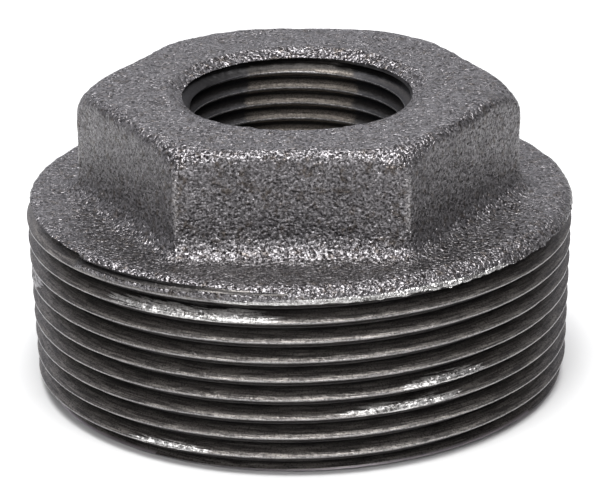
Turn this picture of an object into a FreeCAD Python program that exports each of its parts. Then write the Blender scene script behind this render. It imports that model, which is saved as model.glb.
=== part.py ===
import FreeCAD, Part
import Sketcher
import math
import os

# A hexagon reducing bushing, cast in one piece. A tapered pipe thread is cut on the outside of its stem, a
# smaller one in its bore, and a hexagon for a spanner stands on the plain collar at the top of the stem.
# Frame: the origin is the centre of the stem's end face, +Z runs up the axis, and two flats face -Y and +Y.
# Lengths are in millimetres and angles in degrees.

PART_NAME = "reducing_bushing"
INCH = 25.4
# A thread groove that leaves more than this share of the volume has missed the casting.
LEAST_THREAD_CUT = 0.99

SIZES = {
    # casting
    "overall_height": 33.2,
    "collar_top": 21.5,
    "collar_round": 1.1,
    "hex_across_flats": 42.7,
    "hex_corner_round": 0.7,
    "hex_foot_round": 2.5,
    "hex_bevel_radius": 21.4,
    "hex_bevel_angle": 35.0,
    # both threads are right-hand, with 60 degree flanks, and taper 1 in 16 on the diameter
    "taper_angle": math.degrees(math.atan(1 / 32)),
    "flank_angle": 30.0,
    # outer thread, 2 in nominal, 11.5 turns to the inch
    "stem_pitch": INCH / 11.5,
    "stem_crest_radius": 29.7,
    "stem_flat": 0.14,
    "stem_nose_radius": 28.4,
    "stem_nose_height": 1.0,
    "stem_thread_start": -2.74,
    "stem_thread_rise": 23.6,
    # inner thread, 3/4 in nominal, 14 turns to the inch
    "bore_pitch": INCH / 14,
    "bore_crest_radius": 11.85,
    "bore_flat": 0.12,
    "bore_thread_start": 11.15,
    "bore_thread_rise": 24.0,
    # cast mouth of the bore
    "lip_outer_radius": 14.3,
    "lip_inner_radius": 12.7,
    "lip_depth": 0.85,
    "throat_depth": 1.9,
    # cored pocket in the underside of the stem
    "pocket_mouth_radius": 22.6,
    "pocket_floor_radius": 21.8,
    "pocket_side_height": 12.6,
    "pocket_peak_height": 14.2,
    "pocket_round": 3.0,
    "pocket_mouth_round": 0.8,
    # how far a cutting profile stands clear of the skin that it cuts
    "clearance": 0.06,
}

# Sizes and levels worked out from the sheet, as expressions over its cells.
SLOPE = "tan(Sizes.taper_angle)"
TOP = "Sizes.overall_height"
LIP_LEVEL = f"({TOP} - Sizes.lip_depth)"
THROAT_LEVEL = f"({TOP} - Sizes.throat_depth)"
STEM_FOOT = f"(Sizes.stem_crest_radius + Sizes.stem_nose_height * {SLOPE})"
STEM_HEAD = f"(Sizes.stem_crest_radius + Sizes.collar_top * {SLOPE})"
HEX_CORNER = "(Sizes.hex_across_flats / 2 / cos(30))"
BEVEL_OUTSIDE = f"({HEX_CORNER} + Sizes.clearance)"
BEVEL_DROP = f"(({BEVEL_OUTSIDE} - Sizes.hex_bevel_radius) * tan(Sizes.hex_bevel_angle))"


def make_sheet(doc):
    sheet = doc.addObject("Spreadsheet::Sheet", "Sizes")
    for row, (alias, value) in enumerate(SIZES.items(), start=1):
        sheet.set(f"A{row}", alias)
        sheet.set(f"B{row}", str(round(value, 6)))
        sheet.setAlias(f"B{row}", alias)
    doc.recompute()
    return sheet


def number(doc, expression):
    """The present value of an expression over the sheet."""
    return float(doc.Sizes.evalExpression(expression))


def new_sketch(body, name, role):
    """A sketch on one of the body's own origin planes."""
    sketch = body.newObject("Sketcher::SketchObject", name)
    plane = next(item for item in body.Origin.OriginFeatures if item.Role == role)
    sketch.AttachmentSupport = [(plane, "")]
    sketch.MapMode = "FlatFace"
    return sketch


def pin(sketch, line, kind, expression):
    """Holds the start of a line at the distance that the expression gives, or on the axis at zero."""
    if expression == "0":
        axis = {"DistanceX": -2, "DistanceY": -1}[kind]
        sketch.addConstraint(Sketcher.Constraint("PointOnObject", line, 1, axis))
        return
    label = f"{kind}_{line}"
    index = sketch.addConstraint(Sketcher.Constraint(kind, line, 1, number(sketch.Document, expression)))
    sketch.renameConstraint(index, label)
    sketch.setExpression(f"Constraints.{label}", expression)


def draw_outline(body, name, corners):
    """Draws a closed outline in an upright plane, whose corners are (radius, height) expressions."""
    sketch = new_sketch(body, name, "XZ_Plane")
    doc = body.Document
    points = [FreeCAD.Vector(number(doc, radius), number(doc, height), 0) for radius, height in corners]
    count = len(points)
    for line in range(count):
        sketch.addGeometry(Part.LineSegment(points[line], points[(line + 1) % count]))
    for line in range(count):
        sketch.addConstraint(Sketcher.Constraint("Coincident", line, 2, (line + 1) % count, 1))
    for line, (radius, height) in enumerate(corners):
        pin(sketch, line, "DistanceX", radius)
        pin(sketch, line, "DistanceY", height)
    return sketch


def turn(body, kind, name, corners):
    """Revolves an outline about the axis, to add to the body or to cut it."""
    sketch = draw_outline(body, name + "_outline", corners)
    feature = body.newObject(kind, name)
    feature.Profile = sketch
    feature.ReferenceAxis = (sketch, ["V_Axis"])
    feature.Angle = 360
    body.Document.recompute()
    return feature


def edge_names(shape, wanted):
    return [f"Edge{index}" for index, edge in enumerate(shape.Edges, start=1) if wanted(edge)]


def round_edges(body, name, radius, wanted):
    """Rounds the edges of the body's tip that the test picks."""
    base = body.Tip
    edges = edge_names(base.Shape, wanted)
    if not edges:
        raise RuntimeError(f"{name} found no edges")
    feature = body.newObject("PartDesign::Fillet", name)
    feature.Base = (base, edges)
    feature.setExpression("Radius", radius)
    body.Document.recompute()
    return feature


def at_height(edge, level):
    return all(abs(vertex.Z - level) < 1e-4 for vertex in edge.Vertexes)


def ring_at(radius, level):
    """Picks the circle about the axis that has this radius and height."""
    def wanted(edge):
        circle = isinstance(edge.Curve, Part.Circle)
        return circle and abs(edge.Curve.Radius - radius) < 1e-3 and at_height(edge, level)
    return wanted


def make_blank(body):
    """The tapered stem with its bevelled nose and its collar."""
    turn(body, "PartDesign::Revolution", "stem_blank", [
        ("0", "0"),
        ("Sizes.stem_nose_radius", "0"),
        (STEM_FOOT, "Sizes.stem_nose_height"),
        (STEM_HEAD, "Sizes.collar_top"),
        ("0", "Sizes.collar_top"),
    ])


def make_hexagon(body):
    """The spanner hexagon on the collar, with flats that face -Y and +Y."""
    sketch = new_sketch(body, "hexagon_outline", "XY_Plane")
    sketch.setExpression("AttachmentOffset.Base.z", "Sizes.collar_top")
    corner = number(body.Document, HEX_CORNER)
    angles = [math.radians(60 * step) for step in range(6)]
    points = [FreeCAD.Vector(corner * math.cos(angle), corner * math.sin(angle), 0) for angle in angles]
    for line in range(6):
        sketch.addGeometry(Part.LineSegment(points[line], points[(line + 1) % 6]))
    circle = sketch.addGeometry(Part.Circle(FreeCAD.Vector(0, 0, 0), FreeCAD.Vector(0, 0, 1), corner), True)
    sketch.addConstraint(Sketcher.Constraint("Coincident", circle, 3, -1, 1))
    for line in range(6):
        sketch.addConstraint(Sketcher.Constraint("Coincident", line, 2, (line + 1) % 6, 1))
        sketch.addConstraint(Sketcher.Constraint("PointOnObject", line, 1, circle))
    for line in range(1, 6):
        sketch.addConstraint(Sketcher.Constraint("Equal", 0, line))
    sketch.addConstraint(Sketcher.Constraint("PointOnObject", 0, 1, -1))
    index = sketch.addConstraint(Sketcher.Constraint("Radius", circle, corner))
    sketch.renameConstraint(index, "corner_radius")
    sketch.setExpression("Constraints.corner_radius", HEX_CORNER)
    pad = body.newObject("PartDesign::Pad", "hexagon")
    pad.Profile = sketch
    pad.setExpression("Length", "Sizes.overall_height - Sizes.collar_top")
    body.Document.recompute()


def bevel_hexagon(body):
    """The turned bevel that takes the top corners off the hexagon."""
    turn(body, "PartDesign::Groove", "hexagon_bevel", [
        ("Sizes.hex_bevel_radius", TOP),
        (BEVEL_OUTSIDE, f"{TOP} - {BEVEL_DROP}"),
        (BEVEL_OUTSIDE, TOP),
    ])


def round_casting(body):
    """The rounds of the cast outside: hexagon corners and foot, and the collar's rim."""
    doc = body.Document
    collar = number(doc, "Sizes.collar_top")
    rim = number(doc, STEM_HEAD)

    def upright(edge):
        return isinstance(edge.Curve, Part.Line) and abs(edge.tangentAt(edge.FirstParameter).z) > 0.999

    def foot(edge):
        is_rim = ring_at(rim, collar)(edge)
        return at_height(edge, collar) and not is_rim

    round_edges(body, "hexagon_corners", "Sizes.hex_corner_round", upright)
    bevel_hexagon(body)
    round_edges(body, "hexagon_foot", "Sizes.hex_foot_round", foot)
    round_edges(body, "collar_rim", "Sizes.collar_round", ring_at(rim, collar))


def hollow(body):
    """The tapered bore with its cast mouth, and the cored pocket below it."""
    bore_foot = f"(Sizes.bore_crest_radius - ({THROAT_LEVEL} - Sizes.pocket_peak_height) * {SLOPE})"
    turn(body, "PartDesign::Groove", "bore_and_pocket", [
        ("0", "0"),
        ("Sizes.pocket_mouth_radius", "0"),
        ("Sizes.pocket_floor_radius", "Sizes.pocket_side_height"),
        (bore_foot, "Sizes.pocket_peak_height"),
        ("Sizes.bore_crest_radius", THROAT_LEVEL),
        ("Sizes.lip_inner_radius", LIP_LEVEL),
        ("Sizes.lip_outer_radius", TOP),
        ("0", TOP),
    ])
    doc = body.Document
    corner = ring_at(number(doc, "Sizes.pocket_floor_radius"), number(doc, "Sizes.pocket_side_height"))
    mouth = ring_at(number(doc, "Sizes.pocket_mouth_radius"), 0)
    round_edges(body, "pocket_corner", "Sizes.pocket_round", corner)
    round_edges(body, "pocket_mouth", "Sizes.pocket_mouth_round", mouth)


def cut_thread(body, name, crest, start, side):
    """Cuts one helical groove. The groove starts at the height start, where the crest radius is crest.
    side is 1 where the crests point away from the axis and -1 where they point to it."""
    flat = f"Sizes.{name}_flat"
    crest_half = f"((Sizes.{name}_pitch - {flat}) / 2)"
    root_half = f"({flat} / 2)"
    depth = f"(({crest_half} - {root_half}) / tan(Sizes.flank_angle))"
    over, under = {1: "+-", -1: "-+"}[side]
    mouth = f"({crest} {over} Sizes.clearance)"
    mouth_half = f"({crest_half} + Sizes.clearance * tan(Sizes.flank_angle))"
    root = f"({crest} {under} {depth})"
    sketch = draw_outline(body, f"{name}_groove_outline", [
        (root, f"{start} - {root_half}"),
        (mouth, f"{start} - {mouth_half}"),
        (mouth, f"{start} + {mouth_half}"),
        (root, f"{start} + {root_half}"),
    ])
    helix = body.newObject("PartDesign::SubtractiveHelix", f"{name}_thread")
    helix.Profile = sketch
    helix.ReferenceAxis = (sketch, ["V_Axis"])
    helix.Mode = "pitch-height-angle"
    helix.setExpression("Pitch", f"Sizes.{name}_pitch")
    helix.setExpression("Height", f"Sizes.{name}_thread_rise")
    helix.setExpression("Angle", "Sizes.taper_angle")
    before = body.Shape.Volume
    body.Document.recompute()
    if body.Shape.Volume > before * LEAST_THREAD_CUT:
        raise RuntimeError(f"{helix.Label} cut too little")


def cut_threads(body):
    bore_start = "Sizes.bore_thread_start"
    bore_crest = f"(Sizes.bore_crest_radius - ({THROAT_LEVEL} - {bore_start}) * {SLOPE})"
    cut_thread(body, "bore", bore_crest, bore_start, -1)
    stem_start = "Sizes.stem_thread_start"
    stem_crest = f"(Sizes.stem_crest_radius + {stem_start} * {SLOPE})"
    cut_thread(body, "stem", stem_crest, stem_start, 1)


def make_bushing(doc):
    body = doc.addObject("PartDesign::Body", PART_NAME)
    body.Label = PART_NAME
    make_blank(body)
    make_hexagon(body)
    round_casting(body)
    hollow(body)
    cut_threads(body)
    return body


def check(doc, body):
    for item in doc.Objects:
        if "Invalid" in item.State or "Error" in item.State:
            raise RuntimeError(f"{item.Label} failed: {item.State}")
    if body.Shape.isNull() or not body.Shape.isValid() or len(body.Shape.Solids) != 1:
        raise RuntimeError(f"{body.Label} is not one valid solid")


def main():
    doc = FreeCAD.newDocument("reducing_bushing_model")
    make_sheet(doc)
    body = make_bushing(doc)
    doc.recompute()
    check(doc, body)
    os.makedirs("parts", exist_ok=True)
    body.Shape.exportStep(f"parts/{body.Label}.step")
    box = body.Shape.optimalBoundingBox(True, False)
    print(f"{body.Label}: {box.XLength:.2f} x {box.YLength:.2f} x {box.ZLength:.2f} mm,"
          f" {body.Shape.Volume / 1000:.2f} cm3, {len(body.Shape.Faces)} faces")


main()
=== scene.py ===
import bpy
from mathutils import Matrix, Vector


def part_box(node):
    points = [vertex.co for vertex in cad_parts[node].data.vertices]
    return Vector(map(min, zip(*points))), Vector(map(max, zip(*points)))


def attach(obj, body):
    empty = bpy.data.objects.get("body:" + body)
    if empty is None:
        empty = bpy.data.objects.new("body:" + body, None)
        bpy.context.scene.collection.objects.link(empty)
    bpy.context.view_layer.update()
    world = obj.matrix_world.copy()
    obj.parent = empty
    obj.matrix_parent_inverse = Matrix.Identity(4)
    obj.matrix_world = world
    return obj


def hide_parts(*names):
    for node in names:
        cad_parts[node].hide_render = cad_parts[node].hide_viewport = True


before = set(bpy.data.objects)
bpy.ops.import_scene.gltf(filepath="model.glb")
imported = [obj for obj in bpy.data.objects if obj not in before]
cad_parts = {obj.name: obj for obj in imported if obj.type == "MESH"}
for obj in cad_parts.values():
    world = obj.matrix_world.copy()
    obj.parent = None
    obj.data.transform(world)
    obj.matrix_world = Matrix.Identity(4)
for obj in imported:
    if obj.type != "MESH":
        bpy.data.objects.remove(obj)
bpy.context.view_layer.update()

import math

import bmesh
import bpy
import numpy as np
from mathutils import Matrix, Vector, noise

# A black malleable iron reducing bushing on a pale floor. The casting is one closed mesh: rings of
# points on upright rays round the axis, in millimetres until the mesh is made. Angles are in radians
# unless said.
MM = 0.001
NODE = "reducing_bushing"
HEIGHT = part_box(NODE)[1].z / MM

# Casting
COLLAR_TOP = 21.5
# The collar's rim is rounded more on its right: plain and extra round, middle and half width in degrees
RIM_ROUND = (1.25, 1.2, -42, 32)
# Part of the rim's round, from the side, that the outer thread's rows cover
RIM_ARC = math.radians(55)
HEX_APOTHEM = 21.35
HEX_SHARPNESS = 85
# The rounded corner's distance from the axis, as a share of the flat's
HEX_CORNER = 1.14
# Painted highlight: the upright edges are painted bright between these distances from the axis
CORNER_HIGHLIGHT = (24.37, 24.44)
FOOT_ROUND = 2.6
# The top falls off as the square of the distance beyond this radius, and its edge is rounded.
DOME_RADIUS = 21.2
DOME_FALL = 0.17
DOME_FOOT = 19.6
# How far in the rounded edge of the top reaches, at the middle of a flat and at a corner
EDGE_INSETS = (1.3, 1.5)
EDGE_ROUND = 9.0
# The edge is sharper at the back: how much, its middle and half width in degrees
EDGE_SHARPER = (0.6, 90, 75)
DOME_STEPS = 5
LIP_OUTER = 14.3
LIP_INNER = 12.7
LIP_DEPTH = 0.8
LIP_ROUNDS = (0.6, 0.2)
# Half width of the lumpy band along the lip
LIP_BAND = 1.3
THROAT_RADIUS = 11.85
THROAT_DEPTH = 1.9
POCKET_MOUTH = 22.6
POCKET_FLOOR = 21.8
POCKET_SIDE = 12.6
POCKET_PEAK = 14.2
POCKET_ROUNDS = (3.0, 0.8)
NOSE_RADIUS = 28.4
NOSE_HEIGHT = 1.0
# Depth mark of turned faces outside the grooves, so that they don't get the crests' pale wear and painted
# highlight
PLAIN_DEPTH = 0.1
# A wall closer to its blank than this, in mm, is uncut
UNCUT = 0.02
# In turns: how far round the last crest its own marks reach
CREST_REACH = 0.1
# Share of the overhang from which its surface counts as cast
HANGING_CAST = 0.3
# Painted shade: the collar's flat is painted darker at the front. Middle and half width in degrees,
# radius, height reached
FRONT_SHADE = (-90, 60, 28.4, 0.3)
# Bore mark of the throat, which is darker than the bore's thread, where the mark is 1
THROAT_MARK = 2
# Where the end face and the throat pass from the outer thread's rays to half as many
END_FACE_RADIUS = 27.5
THROAT_STRIP = 0.12

# Threads: 60 degree flanks, right-hand, taper 1 in 32 on the radius. side is 1 if crests face outwards.
TAPER = 1 / 32
INCH = 25.4
FLANK = math.tan(math.radians(30))
STEM = dict(pitch=INCH / 11.5, crest=29.7, crest_level=0.57, flat=0.15, side=1, rows=4)
BORE_CREST = THROAT_RADIUS - (HEIGHT - THROAT_DEPTH) * TAPER
BORE = dict(pitch=INCH / 14, crest=BORE_CREST, crest_level=1.42, flat=0.14, side=-1, rows=4)
# The last groove is full up to the first angle, then shallower in steps where the cutter's teeth left it
LAST_GROOVE = 9
LAST_GROOVE_STEPS = ((-141, 1.0), (-139, 0.42), (-110, 0.34), (-108, 0.22), (-50, 0.0))
# Added to the depth mark of the shallow part of the last groove, so that the painted shade of the roots
# darkens it
LAST_SHADE = 1.2
# Cast skin that hangs over the last crest: height in mm, its middle and half width in degrees
OVERHANG = (0.2, -42, 32)

# Mesh
RAYS = 420
RAY_BOOST = 2.5
RAY_BOOST_WIDTH = 1.2
SNAP = 0.05
RUN_SHARE = 0.48
SHARP_ANGLE = math.radians(38)

# Lumps of the sand-cast skin and of the lip: size and height in mm
CAST_LUMPS = ((3.5, 0.10), (1.2, 0.07), (0.55, 0.05))
LIP_LUMPS = ((0.8, 0.16),)
TORN_LUMPS = ((0.7, 0.12), (0.35, 0.05))
RAGGED_LUMPS = ((0.7, 0.30), (0.4, 0.15))
RAGGED_DROPS = ((0.9, 0.5), (0.5, 0.3))
TURNED_LUMPS = ((4.0, 0.015),)
CREST_NICKS = ((1.4, 0.05), (0.5, 0.03))
# Share of the groove's depth that torn metal fills
TORN_FILL = 0.45
# How steeply the mark of a torn patch rises inwards from its border
TORN_SLOPE = 4
# Places where the cutter tore the metal: middle and half width in degrees, turn and half height in turns
TORN_PATCHES = (
    (-74, 36, 9.02, 0.17),
    (-111, 21, 8.20, 0.27),
    (-57, 11, 4.10, 0.20),
    (-67, 15, 3.14, 0.16),
    (-117, 11, 1.03, 0.17),
    (38, 14, 5.20, 0.20),
    (128, 12, 2.30, 0.18),
    (-170, 9, 6.20, 0.18),
)

# Colours of the iron. The cast skin, then the bore, the turned metal and the torn metal
CAST_DARK = (0.070, 0.066, 0.068)
CAST_LIGHT = (0.295, 0.282, 0.293)
CAST_HAZE = (0.12, 0.115, 0.122)
CAST_BROWN = (0.075, 0.062, 0.052)
PIT_COLOUR = (0.022, 0.019, 0.020)
# Painted shade on the front of the collar's flat
FRONT_SHADE_COLOUR = (0.03, 0.028, 0.027)
# Painted highlight on the upright edges of the hexagon
CORNER_HIGHLIGHT_COLOUR = (0.46, 0.44, 0.44)
BORE_DARK = (0.022, 0.020, 0.018)
BORE_LIGHT = (0.062, 0.055, 0.049)
# Painted light on the deep part of the bore's flanks
BORE_FLANK_LIGHT = (0.41, 0.365, 0.325)
# Painted shade in the roots of the bore's thread
BORE_ROOT_SHADE = (0.01, 0.01, 0.01)
BORE_SIDES = (0.030, 0.030, 0.034)
THROAT_COLOUR = (0.014, 0.013, 0.013)
TURNED_DARK = (0.08, 0.074, 0.072)
TURNED_LIGHT = (0.29, 0.27, 0.25)
TURNED_SPOTS = (0.03, 0.028, 0.028)
# Painted shade in the roots of the turned thread
TURNED_ROOT_SHADE = (0.02, 0.019, 0.02)
NOSE_COLOUR = (0.50, 0.45, 0.49)
# Crests: partly wear, partly a painted highlight
CREST_WEAR_AND_HIGHLIGHT = (0.32, 0.312, 0.318)
TORN_DARK = (0.12, 0.115, 0.11)
TORN_LIGHT = (0.62, 0.61, 0.60)
# Stretches noise into streaks that run round the axis
STREAK_STRETCH = (0.3, 0.3, 10.0)

# Floor, half its side in metres
FLOOR_HALF = 3.0
FLOOR_COLOUR = (0.58, 0.58, 0.58, 1)

# Light. The surroundings are brightest toward BRIGHT_SIDE. Both lights face LIGHT_TARGET, in millimetres.
STUDIO_COLOUR = (0.98, 0.98, 1.05, 1)
BRIGHT_SIDE = (-0.35, 1.0, 0.0)
LIGHT_TARGET = (0, 0, 20)

# Camera, in millimetres
CAMERA_DISTANCE = 360.0
CAMERA_TARGET = Vector((0, 0, 13.96))
CAMERA_AZIMUTH = math.radians(2.12)
CAMERA_ELEVATION = math.radians(21.6)
CAMERA_ROLL = math.radians(-0.98)
CAMERA_LENS = 192.6
CAMERA_SENSOR = 36.0


def ray_angles():
    """Angles of the rays: six like sectors of 60 degrees from the corner at -180, denser near corners."""
    sector = np.linspace(0, 60, 1201)
    gap = np.minimum(sector, 60 - sector)
    density = 1 + RAY_BOOST * np.exp(-((gap / RAY_BOOST_WIDTH) ** 2))
    share = np.concatenate(([0], np.cumsum((density[1:] + density[:-1]) / 2)))
    share /= share[-1]
    per_sector = RAYS // 6
    steps = np.interp(np.arange(per_sector) / per_sector, share, sector)
    return np.radians(np.concatenate([60 * k - 180 + steps for k in range(6)]))


ANGLE = ray_angles()
FEW = slice(0, RAYS, 2)


def hexagon_radius(angle):
    """Distance from the axis to the rounded hexagon, whose flats face -Y and +Y."""
    total = np.zeros_like(angle)
    for k in range(6):
        facing = np.cos(angle - math.radians(30 + 60 * k))
        total += np.maximum(facing, 0) ** HEX_SHARPNESS
    return HEX_APOTHEM * total ** (-1 / HEX_SHARPNESS)


def rounded_path(angle, points, rounds, arc_steps, run_steps):
    """Rows of (radius, level) arrays along a path whose inner corners are rounded by exact arcs.

    The arc at a corner takes at most RUN_SHARE of a run that ends in another corner."""
    points = [np.array(np.broadcast_arrays(*point, angle)[:2], float) for point in points]
    lengths = [np.hypot(*(b - a)) for a, b in zip(points, points[1:])]
    ways = [(b - a) / np.maximum(length, 1e-9) for a, b, length in zip(points, points[1:], lengths)]
    shares = [1.0] + [RUN_SHARE] * (len(lengths) - 2) + [1.0]
    rows = []
    leave = points[0]
    for k in range(1, len(points) - 1):
        half_turn = np.arccos(np.clip((ways[k - 1] * ways[k]).sum(0), -1, 1)) / 2
        room = np.minimum(lengths[k - 1] * shares[k - 1], lengths[k] * shares[k])
        reach = np.minimum(rounds[k - 1] * np.tan(half_turn), room)
        start = points[k] - ways[k - 1] * reach
        end = points[k] + ways[k] * reach
        for step in range(run_steps[k - 1]):
            rows.append(leave + (start - leave) * step / run_steps[k - 1])
        for step in range(arc_steps[k - 1]):
            s = step / arc_steps[k - 1]
            parts = ((1 - s) ** 2, 2 * s * (1 - s) * np.cos(half_turn), s ** 2)
            rows.append((parts[0] * start + parts[1] * points[k] + parts[2] * end) / sum(parts))
        leave = end
    for step in range(run_steps[-1] + 1):
        rows.append(leave + (points[-1] - leave) * step / max(run_steps[-1], 1))
    return rows


def crest_radius(level, thread):
    return thread["crest"] + level * TAPER


def groove_fill(turn, angle, thread):
    """Share of its full depth that the groove has: 1 everywhere but at the end of the outer thread."""
    if thread is BORE:
        return np.ones_like(turn)
    fading = np.interp(np.degrees(angle), *zip(*LAST_GROOVE_STEPS))
    return np.where(turn >= LAST_GROOVE + 1, 0, np.where(turn >= LAST_GROOVE, fading, 1))


def thread_depth(angle, level, thread):
    """Depth of the thread below its crest cone. Crests are at whole turns and roots half way between."""
    turn = (level - thread["crest_level"]) / thread["pitch"] - angle / (2 * math.pi)
    flat = thread["flat"] / thread["pitch"]
    place = turn - np.floor(turn)
    share = np.clip((np.minimum(place, 1 - place) - flat / 2) / (0.5 - flat), 0, 1)
    full = (0.5 - flat) * thread["pitch"] / FLANK
    return np.maximum(share - 1 + groove_fill(np.floor(turn), angle, thread), 0) * full


def groove_radius(angle, level, thread):
    return crest_radius(level, thread) - thread["side"] * thread_depth(angle, level, thread)


def torn_mark(angle, turn):
    """1 inside the patches that the cutter tore and 0 elsewhere."""
    mark = np.zeros_like(angle)
    for middle, half_width, middle_turn, half_turns in TORN_PATCHES:
        across = (np.degrees(angle) - middle + 180) % 360 - 180
        gap = np.hypot(across / half_width, (turn - middle_turn) / half_turns)
        mark = np.maximum(mark, np.clip(TORN_SLOPE * (1 - gap), 0, 1))
    return mark


class Shell:
    """Collects the casting's rings of points, marks that say what each point is on, and the faces."""

    PAINTED = ("cast", "torn", "depth", "bore", "front_shade", "corner_highlight", "nose")
    MARKS = PAINTED + ("lip", "ragged")

    def __init__(self):
        self.points = []
        self.marks = {name: [] for name in self.MARKS}
        self.faces = []

    def ring(self, angle, radius, level, **marks):
        """Adds one ring of points and returns their indices."""
        radius, level = (np.broadcast_to(value, angle.shape) for value in (radius, level))
        first = len(self.points)
        self.points += list(zip(radius * np.cos(angle), radius * np.sin(angle), level))
        for name in self.MARKS:
            self.marks[name] += list(np.broadcast_to(marks.get(name, 0.0), angle.shape))
        return np.arange(first, first + len(angle))

    def face(self, *corners):
        """Adds a face without its repeated corners, unless too few are left."""
        distinct = [int(c) for k, c in enumerate(corners) if c != corners[k - 1]]
        if len(set(distinct)) > 2:
            self.faces.append(distinct)

    def band(self, lower, upper):
        """Faces between two rings of as many points each."""
        for corners in zip(lower, np.roll(lower, -1), np.roll(upper, -1), upper):
            self.face(*corners)

    def thin_out(self, many, few):
        """Faces between a ring and one with half as many points."""
        for k, here in enumerate(few):
            there = few[(k + 1) % len(few)]
            left, middle, right = many[2 * k], many[2 * k + 1], many[(2 * k + 2) % len(many)]
            self.face(left, middle, here)
            self.face(middle, there, here)
            self.face(middle, right, there)

    def thread(self, thread, angle, low_ring, low, high_ring, high):
        """Fills the wall between two rings with rows that climb with the thread, and end on the rings."""
        half_flat = thread["flat"] / thread["pitch"] / 2
        rise = np.linspace(half_flat, 0.5 - half_flat, thread["rows"] + 1)
        places = np.concatenate((rise, 1 - rise[::-1]))
        first = math.floor((np.min(low) - thread["crest_level"]) / thread["pitch"] - 0.5)
        last = math.ceil((np.max(high) - thread["crest_level"]) / thread["pitch"] + 0.5)
        rows = [low_ring]
        for turn in (whole + place for whole in range(first, last + 1) for place in places):
            level = thread["crest_level"] + thread["pitch"] * (turn + angle / (2 * math.pi))
            inside = (level > low + SNAP) & (level < high - SNAP)
            index = np.where(level <= low + SNAP, low_ring, high_ring)
            radius, marks = thread_skin(angle, level, turn, thread)
            marks = {name: values[inside] for name, values in marks.items()}
            index[inside] = self.ring(angle[inside], radius[inside], level[inside], **marks)
            rows.append(index)
        rows.append(high_ring)
        for row in range(-len(places), len(rows) - 1):
            for ray in range(len(angle)):
                onward = (ray + 1) % len(angle)
                climb = len(places) if onward == 0 else 0
                corners = ((row, ray), (row + climb, onward), (row + 1 + climb, onward), (row + 1, ray))
                self.face(*[rows[min(max(r, 0), len(rows) - 1)][c] for r, c in corners])


def hump(angle, middle, half_width):
    """1 at the middle angle, falling smoothly to each side. The angles given are in degrees."""
    across = (np.degrees(angle) - middle + 180) % 360 - 180
    return np.exp(-((across / half_width) ** 2))


def rim_round(angle):
    plain, extra, middle, half_width = RIM_ROUND
    return plain + extra * hump(angle, middle, half_width)


def rim_top(angle):
    """Level at which the rim's own rows take over from the thread's rows."""
    return COLLAR_TOP - rim_round(angle) * (1 - math.sin(RIM_ARC))


def blank_radius(angle, level):
    """Radius of the stem before its thread is cut: a short cone, the crest cone and the rim's round."""
    top = crest_radius(NOSE_HEIGHT, STEM)
    nose = NOSE_RADIUS + (top - NOSE_RADIUS) * level / NOSE_HEIGHT
    round_off = rim_round(angle)
    climb = np.clip(level - (COLLAR_TOP - round_off), 0, round_off)
    rim = crest_radius(COLLAR_TOP, STEM) - round_off + np.sqrt(round_off ** 2 - climb ** 2)
    return np.minimum(np.minimum(nose, crest_radius(level, STEM)), rim)


def thread_skin(angle, level, turn, thread):
    """Radius of the threaded wall, and the marks of its points."""
    cut = groove_radius(angle, level, thread)
    blank = blank_radius(angle, level) if thread is STEM else crest_radius(level, thread)
    radius = np.minimum(cut, blank) if thread is STEM else cut
    below_blank = thread["side"] * (blank - radius)
    depth = np.minimum(abs(radius - crest_radius(level, thread)), below_blank)
    marks = {"depth": depth, "bore": np.full_like(angle, thread is BORE)}
    if thread is STEM:
        uncut = cut > blank - UNCUT
        marks["nose"] = (level < NOSE_HEIGHT) & uncut
        on_skin = (turn > LAST_GROOVE - CREST_REACH) & uncut
        height, middle, half_width = OVERHANG
        hanging = np.where(on_skin, hump(angle, middle, half_width), 0)
        radius = radius + height * hanging
        above_crest = turn > LAST_GROOVE + CREST_REACH
        marks["cast"] = on_skin & above_crest | (hanging > HANGING_CAST)
        marks["ragged"] = np.where(turn < LAST_GROOVE + CREST_REACH, hanging, 0)
        marks["torn"] = torn_mark(angle, turn)
        # Painted shade: the shallow part of the last groove is marked deeper so that it is painted darker
        fading = above_crest & (groove_fill(np.floor(turn), angle, thread) < 1)
        marks["depth"] = depth + LAST_SHADE * fading
        radius = radius + TORN_FILL * marks["torn"] * depth
    return radius, marks


def dome_level(radius):
    return HEIGHT - DOME_FALL * np.maximum(radius - DOME_RADIUS, 0) ** 2


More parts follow.
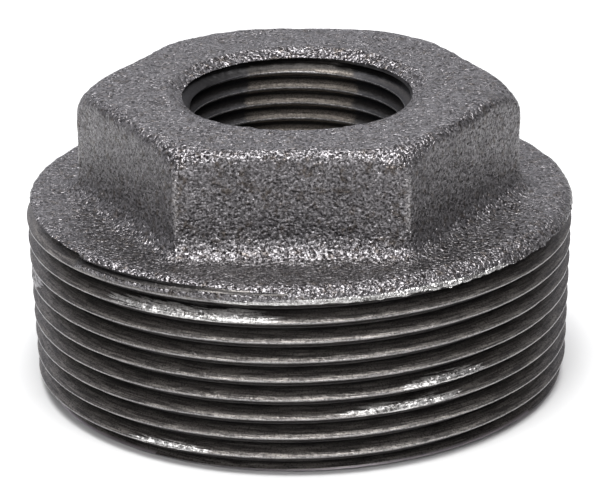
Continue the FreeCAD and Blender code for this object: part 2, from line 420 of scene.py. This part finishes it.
def build_outside(shell):
    """The collar, the hexagon and the mouth of the bore. Returns the first and the last ring."""
    hexagon = hexagon_radius(ANGLE)
    inset = np.interp(hexagon, (HEX_APOTHEM, HEX_APOTHEM * HEX_CORNER), EDGE_INSETS)
    sharper, middle, half_width = EDGE_SHARPER
    inset *= 1 - sharper * hump(ANGLE, middle, half_width)
    knee = hexagon - inset
    slope = 2 * DOME_FALL * np.maximum(knee - DOME_RADIUS, 0)
    round_off = rim_round(ANGLE)
    rim_middle = crest_radius(COLLAR_TOP, STEM) - round_off
    start = rim_middle + round_off * math.cos(RIM_ARC)
    corner = rim_middle + round_off * math.tan((math.pi / 2 - RIM_ARC) / 2)
    points = [
        (start, rim_top(ANGLE)),
        (corner, COLLAR_TOP),
        (hexagon, COLLAR_TOP),
        (hexagon, dome_level(knee) - slope * inset),
        (knee, dome_level(knee)),
    ]
    rounds = (round_off, FOOT_ROUND, EDGE_ROUND)
    rows = rounded_path(ANGLE, points, rounds, arc_steps=(3, 8, 5), run_steps=(0, 6, 9, 0))
    for step in range(1, DOME_STEPS):
        radius = knee + (DOME_FOOT - knee) * step / DOME_STEPS
        rows.append((radius, dome_level(radius)))
    points = [
        (DOME_FOOT, HEIGHT),
        (LIP_OUTER, HEIGHT),
        (LIP_INNER, HEIGHT - LIP_DEPTH),
        (THROAT_RADIUS, HEIGHT - THROAT_DEPTH),
    ]
    rows += rounded_path(ANGLE, points, LIP_ROUNDS, arc_steps=(3, 2), run_steps=(7, 3, 4))
    rings = []
    for radius, level in rows:
        in_bore = (radius < LIP_INNER).all()
        if in_bore:
            radius = np.maximum(radius, groove_radius(ANGLE, level, BORE))
        lip = np.clip(1 - abs(radius - (LIP_OUTER + LIP_INNER) / 2) / LIP_BAND, 0, 1)
        # Painted shade on the collar's flat at the front
        shade_middle, shade_half_width, shade_radius, shade_height = FRONT_SHADE
        in_front_shade = (level < COLLAR_TOP + shade_height) & (radius < shade_radius)
        front_shade = np.where(in_front_shade, hump(ANGLE, shade_middle, shade_half_width), 0)
        # Painted highlight along the upright edges
        corner_highlight = np.where(level > COLLAR_TOP + FOOT_ROUND, np.interp(radius, CORNER_HIGHLIGHT, (0, 1)), 0)
        bore = THROAT_MARK * in_bore
        marks = dict(cast=not in_bore, lip=lip, bore=bore, depth=PLAIN_DEPTH, front_shade=front_shade, corner_highlight=corner_highlight)
        rings.append(shell.ring(ANGLE, radius, level, **marks))
    for lower, upper in zip(rings, rings[1:]):
        shell.band(lower, upper)
    return rings[0], rings[-1]


def build_casting():
    """The whole closed skin of the bushing."""
    shell = Shell()
    rim, throat = build_outside(shell)
    end_radius, marks = thread_skin(ANGLE, 0 * ANGLE, 0 * ANGLE, STEM)
    end = shell.ring(ANGLE, end_radius, 0, depth=marks["depth"])
    shell.thread(STEM, ANGLE, end, 0, rim, rim_top(ANGLE))

    angle = ANGLE[FEW]
    bore_top = HEIGHT - THROAT_DEPTH - THROAT_STRIP
    bore_radius = groove_radius(angle, bore_top + 0 * angle, BORE)
    top = shell.ring(angle, bore_radius, bore_top, bore=1, depth=PLAIN_DEPTH)
    shell.thin_out(throat, top)
    foot = groove_radius(angle, POCKET_PEAK + 0 * angle, BORE)
    pocket = rounded_path(
        angle,
        [(foot, POCKET_PEAK), (POCKET_FLOOR, POCKET_SIDE), (POCKET_MOUTH, 0), (END_FACE_RADIUS, 0)],
        POCKET_ROUNDS, arc_steps=(5, 3), run_steps=(6, 6, 3))
    rings = [shell.ring(angle, radius, level, cast=1) for radius, level in pocket]
    shell.thread(BORE, angle, rings[0], POCKET_PEAK, top, bore_top)
    for lower, upper in zip(rings, rings[1:]):
        shell.band(lower, upper)
    shell.thin_out(end, rings[-1])
    return shell


def lumps(points, layers, seed):
    """Sum of smooth noise layers at each point, each with its own size and height."""
    total = np.zeros(len(points))
    for size, height in layers:
        spots = points / size + seed
        total += height * np.array([noise.noise(Vector(spot)) for spot in spots])
    return total


def weather(mesh, marks):
    """Moves the points along their normals: lumps on cast skin, tears and nicks on the threads."""
    count = len(mesh.vertices)
    points = np.empty(count * 3)
    normals = np.empty(count * 3)
    mesh.vertices.foreach_get("co", points)
    mesh.vertices.foreach_get("normal", normals)
    points, normals = points.reshape(-1, 3), normals.reshape(-1, 3)
    shift = marks["cast"] * lumps(points, CAST_LUMPS, seed=0.0)
    shift += marks["lip"] * lumps(points, LIP_LUMPS, seed=7.3)
    shift += marks["torn"] * lumps(points, TORN_LUMPS, seed=3.1)
    shift += (1 - marks["cast"]) * lumps(points, TURNED_LUMPS, seed=5.9)
    shift += marks["ragged"] * lumps(points, RAGGED_LUMPS, seed=2.2)
    on_crest = (marks["depth"] < UNCUT) & (marks["cast"] == 0)
    shift -= on_crest * np.maximum(lumps(points, CREST_NICKS, seed=1.7), 0)
    points += normals * shift[:, None]
    points[:, 2] += marks["ragged"] * np.minimum(lumps(points, RAGGED_DROPS, seed=4.4), 0)
    points[:, 2] = np.clip(points[:, 2], 0, None)
    mesh.vertices.foreach_set("co", points.ravel())


def make_bushing(material):
    shell = build_casting()
    mesh = bpy.data.meshes.new("bushing_casting")
    mesh.from_pydata([tuple(point) for point in shell.points], [], shell.faces)
    box = bmesh.new()
    box.from_mesh(mesh)
    bmesh.ops.recalc_face_normals(box, faces=box.faces)
    box.to_mesh(mesh)
    box.free()
    marks = {name: np.array(values, float) for name, values in shell.marks.items()}
    weather(mesh, marks)
    mesh.transform(Matrix.Scale(MM, 4))
    for name in Shell.PAINTED:
        attribute = mesh.attributes.new(name, "FLOAT", "POINT")
        attribute.data.foreach_set("value", marks[name])
    mesh.shade_smooth()
    mesh.set_sharp_from_angle(angle=SHARP_ANGLE)
    mesh.materials.append(material)
    piece = bpy.data.objects.new("bushing_casting", mesh)
    bpy.context.scene.collection.objects.link(piece)
    return piece


class Nodes:
    """Short ways to add nodes to a material and to join them."""

    def __init__(self, material):
        material.use_nodes = True
        self.tree = material.node_tree
        self.tree.nodes.clear()

    def add(self, kind, inputs=(), **settings):
        """Adds a node. inputs pairs each input's name or number with a value or another node's output."""
        made = self.tree.nodes.new("ShaderNode" + kind)
        for name, value in settings.items():
            setattr(made, name, value)
        for name, value in dict(inputs).items():
            if isinstance(value, bpy.types.NodeSocket):
                self.tree.links.new(value, made.inputs[name])
            else:
                made.inputs[name].default_value = value
        return made

    def math(self, operation, *values):
        return self.add("Math", enumerate(values), operation=operation).outputs[0]

    def vector(self, operation, *values, scale=None):
        inputs = dict(enumerate(values))
        if scale is not None:
            inputs["Scale"] = scale
        return self.add("VectorMath", inputs, operation=operation).outputs[0]

    def noise(self, spot, scale, detail, roughness):
        inputs = {"Vector": spot, "Scale": scale, "Detail": detail, "Roughness": roughness}
        return self.add("TexNoise", inputs).outputs["Fac"]

    def ramp(self, value, low, high, out_low=0.0, out_high=1.0):
        """out_low up to the low value, out_high from the high value on, and an even slope between."""
        inputs = enumerate((value, low, high, out_low, out_high))
        return self.add("MapRange", inputs, clamp=True).outputs[0]

    def mix(self, share, first, second):
        """Blends two colours."""
        made = self.add("Mix", {0: share}, data_type="RGBA")
        for socket, value in zip(made.inputs[6:8], (first, second)):
            if isinstance(value, bpy.types.NodeSocket):
                self.tree.links.new(value, socket)
            else:
                socket.default_value = (*value, 1)
        return made.outputs[2]

    def blend(self, share, first, second):
        """Blends two numbers."""
        return self.add("Mix", {0: share, 2: first, 3: second}, data_type="FLOAT").outputs[0]


class IronPatterns:
    """The marks and noises that the iron's colours, gloss and relief share. Scales are per millimetre."""

    def __init__(self, n):
        self.marks = {}
        for name in Shell.PAINTED:
            self.marks[name] = n.add("Attribute", attribute_name=name).outputs["Fac"]
        self.spot = n.vector("MULTIPLY", n.add("TexCoord").outputs["Object"], (1 / MM,) * 3)
        grain = n.add("TexNoise", {"Vector": self.spot, "Scale": 2.9, "Detail": 1.5, "Roughness": 0.5})
        self.grain = grain.outputs["Fac"]
        self.grain_lean = grain.outputs["Color"]
        self.facets = n.add("TexVoronoi", {"Vector": self.spot, "Scale": 4.2}).outputs["Color"]
        self.fine = n.noise(self.spot, scale=5.0, detail=2.0, roughness=0.6)
        self.blotch = n.noise(self.spot, scale=1.1, detail=3.0, roughness=0.6)
        self.mottle = n.noise(self.spot, scale=0.5, detail=4.0, roughness=0.6)
        stretched = n.vector("MULTIPLY", self.spot, STREAK_STRETCH)
        self.streak = n.noise(stretched, scale=1.0, detail=3.0, roughness=0.6)
        self.outward = n.add("NewGeometry").outputs["Normal"]
        self.skin = self.cast_share(n)
        self.tear = self.torn_share(n)
        self.pit = self.pit_share(n)

    def cast_share(self, n):
        """Where the skin is as cast, with an uneven border."""
        uneven = n.math("MULTIPLY", n.math("SUBTRACT", self.grain, 0.5), 1.2)
        return n.ramp(n.math("ADD", self.marks["cast"], uneven), 0.4, 0.6)

    def torn_share(self, n):
        """Where the metal is torn, in streaks."""
        streaked = n.math("MULTIPLY", n.math("SUBTRACT", self.streak, 0.5), 3.0)
        share = n.ramp(n.math("ADD", self.marks["torn"], streaked), 0.3, 0.6)
        return n.math("MULTIPLY", share, n.ramp(self.marks["torn"], 0.02, 0.25))

    def pit_share(self, n):
        """Where the grain is low. Pits are strongest on faces that look up."""
        upward = n.add("SeparateXYZ", {0: self.outward}).outputs["Z"]
        low = n.ramp(self.grain, 0.37, 0.55, 1.0, 0.0)
        return n.math("MULTIPLY", low, n.ramp(upward, 0.3, 0.9, 0.62, 1.0))


def cast_colour(n, iron):
    """Sand-cast skin: speckled, hazy and brownish in patches, dark in its pits, with painted shade on the
    collar's front and a painted highlight along the upright edges.
    """
    colour = n.mix(n.ramp(iron.fine, 0.38, 0.66), CAST_DARK, CAST_LIGHT)
    colour = n.mix(n.ramp(iron.mottle, 0.45, 0.65, 0.0, 0.35), colour, CAST_HAZE)
    colour = n.mix(n.ramp(iron.blotch, 0.54, 0.66, 0.0, 0.8), colour, CAST_BROWN)
    colour = n.mix(iron.pit, colour, PIT_COLOUR)
    # Painted shade: the collar's flat is darkened at the front
    colour = n.mix(n.math("MULTIPLY", iron.marks["front_shade"], 0.5), colour, FRONT_SHADE_COLOUR)
    # Painted highlight along the upright edges
    corner_highlight_share = n.math("MULTIPLY", iron.marks["corner_highlight"], n.ramp(iron.fine, 0.42, 0.60, 0.05, 0.7))
    return n.mix(corner_highlight_share, colour, CORNER_HIGHLIGHT_COLOUR)


def bore_colour(n, iron):
    """Brownish flanks, lightened with depth as painted light, with painted shade in the roots, darker to
    the left and right and in the throat.
    """
    depth = iron.marks["depth"]
    colour = n.mix(n.ramp(iron.fine, 0.36, 0.62), BORE_DARK, BORE_LIGHT)
    # Painted light: the flank is lightened with depth
    painted_flank_light = n.math("MULTIPLY", n.ramp(depth, 0.1, 0.7, 0.0, 0.8), n.ramp(iron.fine, 0.4, 0.56, 0.45, 1.0))
    colour = n.mix(painted_flank_light, colour, BORE_FLANK_LIGHT)
    # Painted shade in the roots
    colour = n.mix(n.ramp(depth, 0.86, 1.2, 0.0, 0.94), colour, BORE_ROOT_SHADE)
    across = n.math("ABSOLUTE", n.add("SeparateXYZ", {0: iron.spot}).outputs["X"])
    across = n.math("ADD", across, n.math("MULTIPLY", iron.mottle, 3.0))
    colour = n.mix(n.ramp(across, 7.3, 8.0, 0.0, 0.85), colour, BORE_SIDES)
    return n.mix(n.ramp(iron.marks["bore"], 1.2, 1.8, 0.0, 0.7), colour, THROAT_COLOUR)


def turned_colour(n, iron):
    """Turned metal: streaked round the axis, with painted shade in the roots, pale on the nose, and pale
    on the crests as wear with a painted highlight.
    """
    depth = iron.marks["depth"]
    colour = n.mix(n.ramp(iron.streak, 0.40, 0.72), TURNED_DARK, TURNED_LIGHT)
    colour = n.mix(n.ramp(iron.fine, 0.36, 0.50, 0.7, 0.0), colour, TURNED_SPOTS)
    # Painted shade: the deep parts of the grooves are darkened
    colour = n.mix(n.ramp(depth, 0.7, 1.75, 0.0, 0.95), colour, TURNED_ROOT_SHADE)
    colour = n.mix(iron.marks["bore"], colour, bore_colour(n, iron))
    colour = n.mix(n.math("MULTIPLY", iron.marks["nose"], 0.8), colour, NOSE_COLOUR)
    # The crests are painted pale: partly wear, partly a painted highlight
    speckled = n.ramp(iron.fine, 0.35, 0.60, 0.25, 1.0)
    crest = n.math("MULTIPLY", n.ramp(depth, 0.005, 0.04, 1.0, 0.0), speckled)
    crest = n.math("MULTIPLY", crest, n.math("SUBTRACT", 1.0, iron.skin))
    return n.mix(n.math("MULTIPLY", crest, 0.7), colour, CREST_WEAR_AND_HIGHLIGHT)


def torn_colour(n, iron):
    """Bright torn metal with dark streaks."""
    streaks = n.math("ADD", n.math("MULTIPLY", iron.streak, 0.6), n.math("MULTIPLY", iron.fine, 0.4))
    return n.mix(n.ramp(streaks, 0.42, 0.56), TORN_DARK, TORN_LIGHT)


def iron_normal(n, iron):
    """Grains that lean each its own way, over a relief whose heights are in millimetres."""
    centre = (0.5, 0.5, 0.5)
    lean = n.vector("SUBTRACT", iron.grain_lean, centre)
    tilt = n.vector("SCALE", n.vector("SUBTRACT", iron.facets, centre), scale=0.5)
    amount = n.blend(iron.skin, n.blend(iron.tear, 0.22, 0.7), 0.9)
    lean = n.vector("SCALE", n.vector("ADD", lean, tilt), scale=amount)
    normal = n.vector("NORMALIZE", n.vector("ADD", iron.outward, lean))
    cast = n.math("ADD", n.math("MULTIPLY", iron.grain, 0.16), n.math("MULTIPLY", iron.pit, -0.04))
    cast = n.math("ADD", cast, n.math("MULTIPLY", iron.blotch, 0.25))
    height = n.blend(iron.skin, n.math("MULTIPLY", iron.streak, 0.03), cast)
    bump = n.add("Bump", {"Strength": 1.0, "Distance": MM, "Height": height, "Normal": normal})
    return bump.outputs[0]


def cast_iron():
    """Black oxide iron: grainy where sand-cast, streaked round the axis where the threads are cut."""
    material = bpy.data.materials.new("black_iron")
    n = Nodes(material)
    iron = IronPatterns(n)
    colour = n.mix(iron.skin, turned_colour(n, iron), cast_colour(n, iron))
    colour = n.mix(iron.tear, colour, torn_colour(n, iron))
    turned_roughness = n.blend(iron.marks["bore"], n.ramp(iron.streak, 0.3, 0.7, 0.30, 0.46), 0.5)
    turned_roughness = n.blend(iron.tear, turned_roughness, 0.4)
    roughness = n.blend(iron.skin, turned_roughness, n.ramp(iron.grain, 0.3, 0.7, 0.22, 0.36))
    shader = n.add("BsdfPrincipled", {
        "Base Color": colour, "Roughness": roughness, "Metallic": 0.85, "Normal": iron_normal(n, iron)})
    n.add("OutputMaterial", {"Surface": shader.outputs[0]})
    return material


def pale_floor():
    material = bpy.data.materials.new("pale_floor")
    n = Nodes(material)
    shader = n.add("BsdfPrincipled", {"Base Color": FLOOR_COLOUR, "Roughness": 0.9})
    n.add("OutputMaterial", {"Surface": shader.outputs[0]})
    return material


def make_floor():
    mesh = bpy.data.meshes.new("floor")
    corners = [(FLOOR_HALF * x, FLOOR_HALF * y, 0) for x, y in ((-1, -1), (1, -1), (1, 1), (-1, 1))]
    mesh.from_pydata(corners, [], [(0, 1, 2, 3)])
    mesh.materials.append(pale_floor())
    floor = bpy.data.objects.new("floor", mesh)
    bpy.context.scene.collection.objects.link(floor)


def area_light(name, place, target, size, power):
    """A soft rectangular light that faces the target. Lengths are in millimetres."""
    data = bpy.data.lights.new(name, "AREA")
    data.shape = "RECTANGLE"
    data.size, data.size_y = size[0] * MM, size[1] * MM
    data.energy = power
    light = bpy.data.objects.new(name, data)
    light.location = Vector(place) * MM
    light.rotation_euler = (Vector(target) - Vector(place)).to_track_quat("-Z", "Y").to_euler()
    bpy.context.scene.collection.objects.link(light)


def light_scene():
    """Surroundings that are brighter behind the bushing and to its left, and two soft lights."""
    world = bpy.data.worlds.new("studio")
    n = Nodes(world)
    direction = n.add("TexCoord").outputs["Generated"]
    toward = n.add("VectorMath", {0: direction, 1: BRIGHT_SIDE}, operation="DOT_PRODUCT").outputs["Value"]
    strength = n.ramp(toward, 0.3, 1.0, 0.17, 0.84)
    background = n.add("Background", {"Color": STUDIO_COLOUR, "Strength": strength})
    n.add("OutputWorld", {"Surface": background.outputs[0]})
    bpy.context.scene.world = world
    bpy.context.scene.view_settings.view_transform = "Standard"
    area_light("overhead", place=(0, -60, 500), target=LIGHT_TARGET, size=(400, 280), power=6.2)
    area_light("front_fill", place=(-60, -500, 310), target=LIGHT_TARGET, size=(360, 240), power=1.7)


def make_camera():
    data = bpy.data.cameras.new("camera")
    data.lens = CAMERA_LENS
    data.sensor_width = CAMERA_SENSOR
    data.sensor_fit = "HORIZONTAL"
    data.clip_start = 0.01
    back = Vector((
        math.sin(CAMERA_AZIMUTH) * math.cos(CAMERA_ELEVATION),
        -math.cos(CAMERA_AZIMUTH) * math.cos(CAMERA_ELEVATION),
        math.sin(CAMERA_ELEVATION)))
    camera = bpy.data.objects.new("camera", data)
    turn = back.to_track_quat("Z", "Y").to_matrix() @ Matrix.Rotation(CAMERA_ROLL, 3, "Z")
    camera.matrix_world = Matrix.Translation((CAMERA_TARGET + back * CAMERA_DISTANCE) * MM) @ turn.to_4x4()
    bpy.context.scene.collection.objects.link(camera)
    bpy.context.scene.camera = camera


bushing = make_bushing(cast_iron())
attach(bushing, "root")
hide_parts(NODE)
make_floor()
light_scene()
make_camera()
